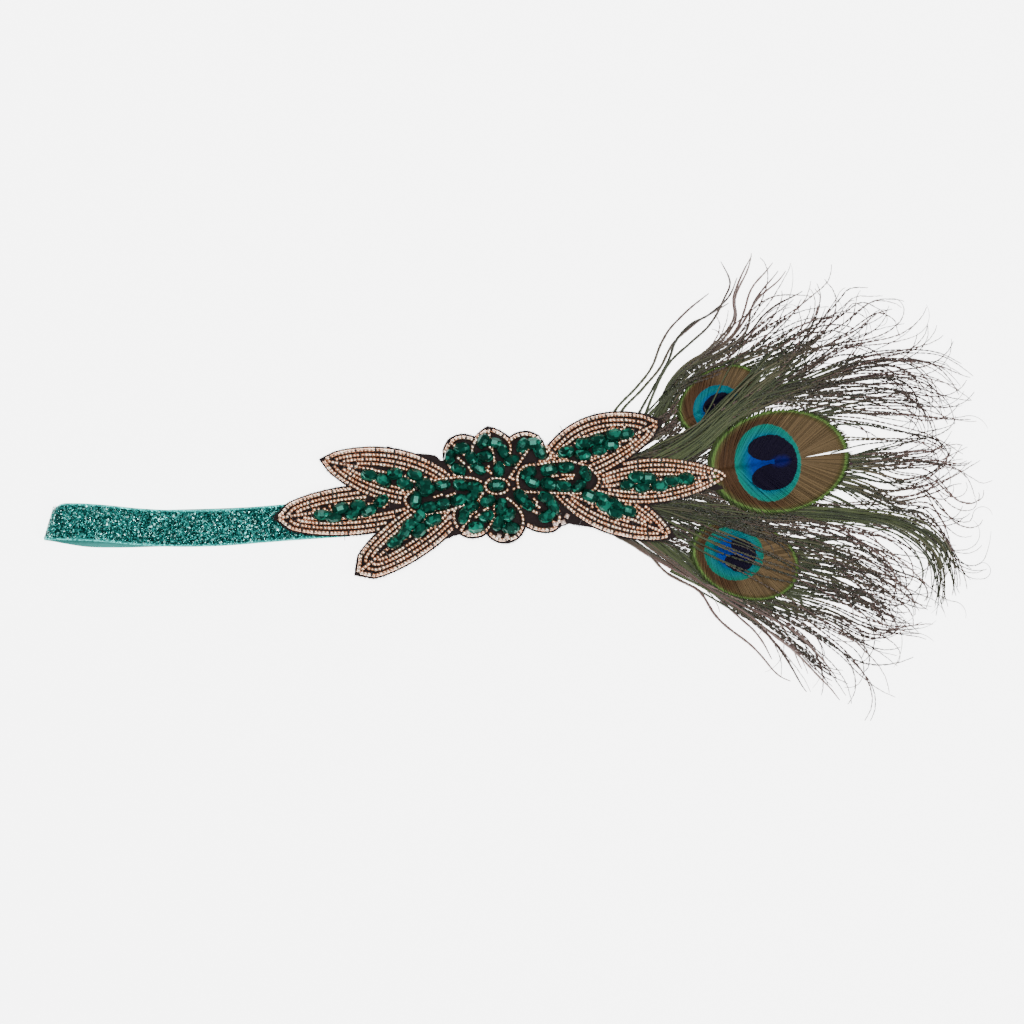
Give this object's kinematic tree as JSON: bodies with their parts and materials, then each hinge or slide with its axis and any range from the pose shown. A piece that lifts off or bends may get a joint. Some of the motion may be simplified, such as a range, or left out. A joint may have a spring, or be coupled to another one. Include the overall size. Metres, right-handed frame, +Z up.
{
  "type": "flapper feather headband",
  "caption": "Folded glitter elastic headband with a beaded felt flower and leaves, and peacock eye feathers fanning out behind it.",
  "frame": {"origin": "on the table under the middle of the beaded flower, on the underside of the elastic's lower run", "axes": "+X from the folded end of the elastic towards the feathers, +Y towards the upper feather as seen from above, +Z up out of the beaded face"},
  "size_m": [0.4023, 0.1916, 0.0084],
  "materials": {
    "glitter_elastic": "woven elastic with metallic glitter thread, bare selvages",
    "felt": "matt pressed felt",
    "beadwork": "rose gold lined seed beads and green glass beads",
    "glass_beads": "faceted emerald green glass",
    "peacock_feather": "soft iridescent feather barbs"
  },
  "bodies": {
    "root": {"elastic_band": "glitter_elastic", "felt_backing": "felt", "centre_bead": "glass_beads", "petal_right": "beadwork", "petal_left": "beadwork", "petal_up": "beadwork", "petal_up_left": "beadwork", "petal_up_right": "beadwork", "petal_down_left": "beadwork", "petal_down": "beadwork", "petal_down_right": "beadwork", "leaf_left_top": "beadwork", "leaf_left_bottom": "beadwork", "leaf_left_mid": "beadwork", "leaf_right_top": "beadwork", "leaf_right_mid": "beadwork", "leaf_right_bottom": "beadwork", "feather_upper": "peacock_feather", "feather_lower": "peacock_feather", "feather_middle": "peacock_feather"}
  },
  "joints": []
}
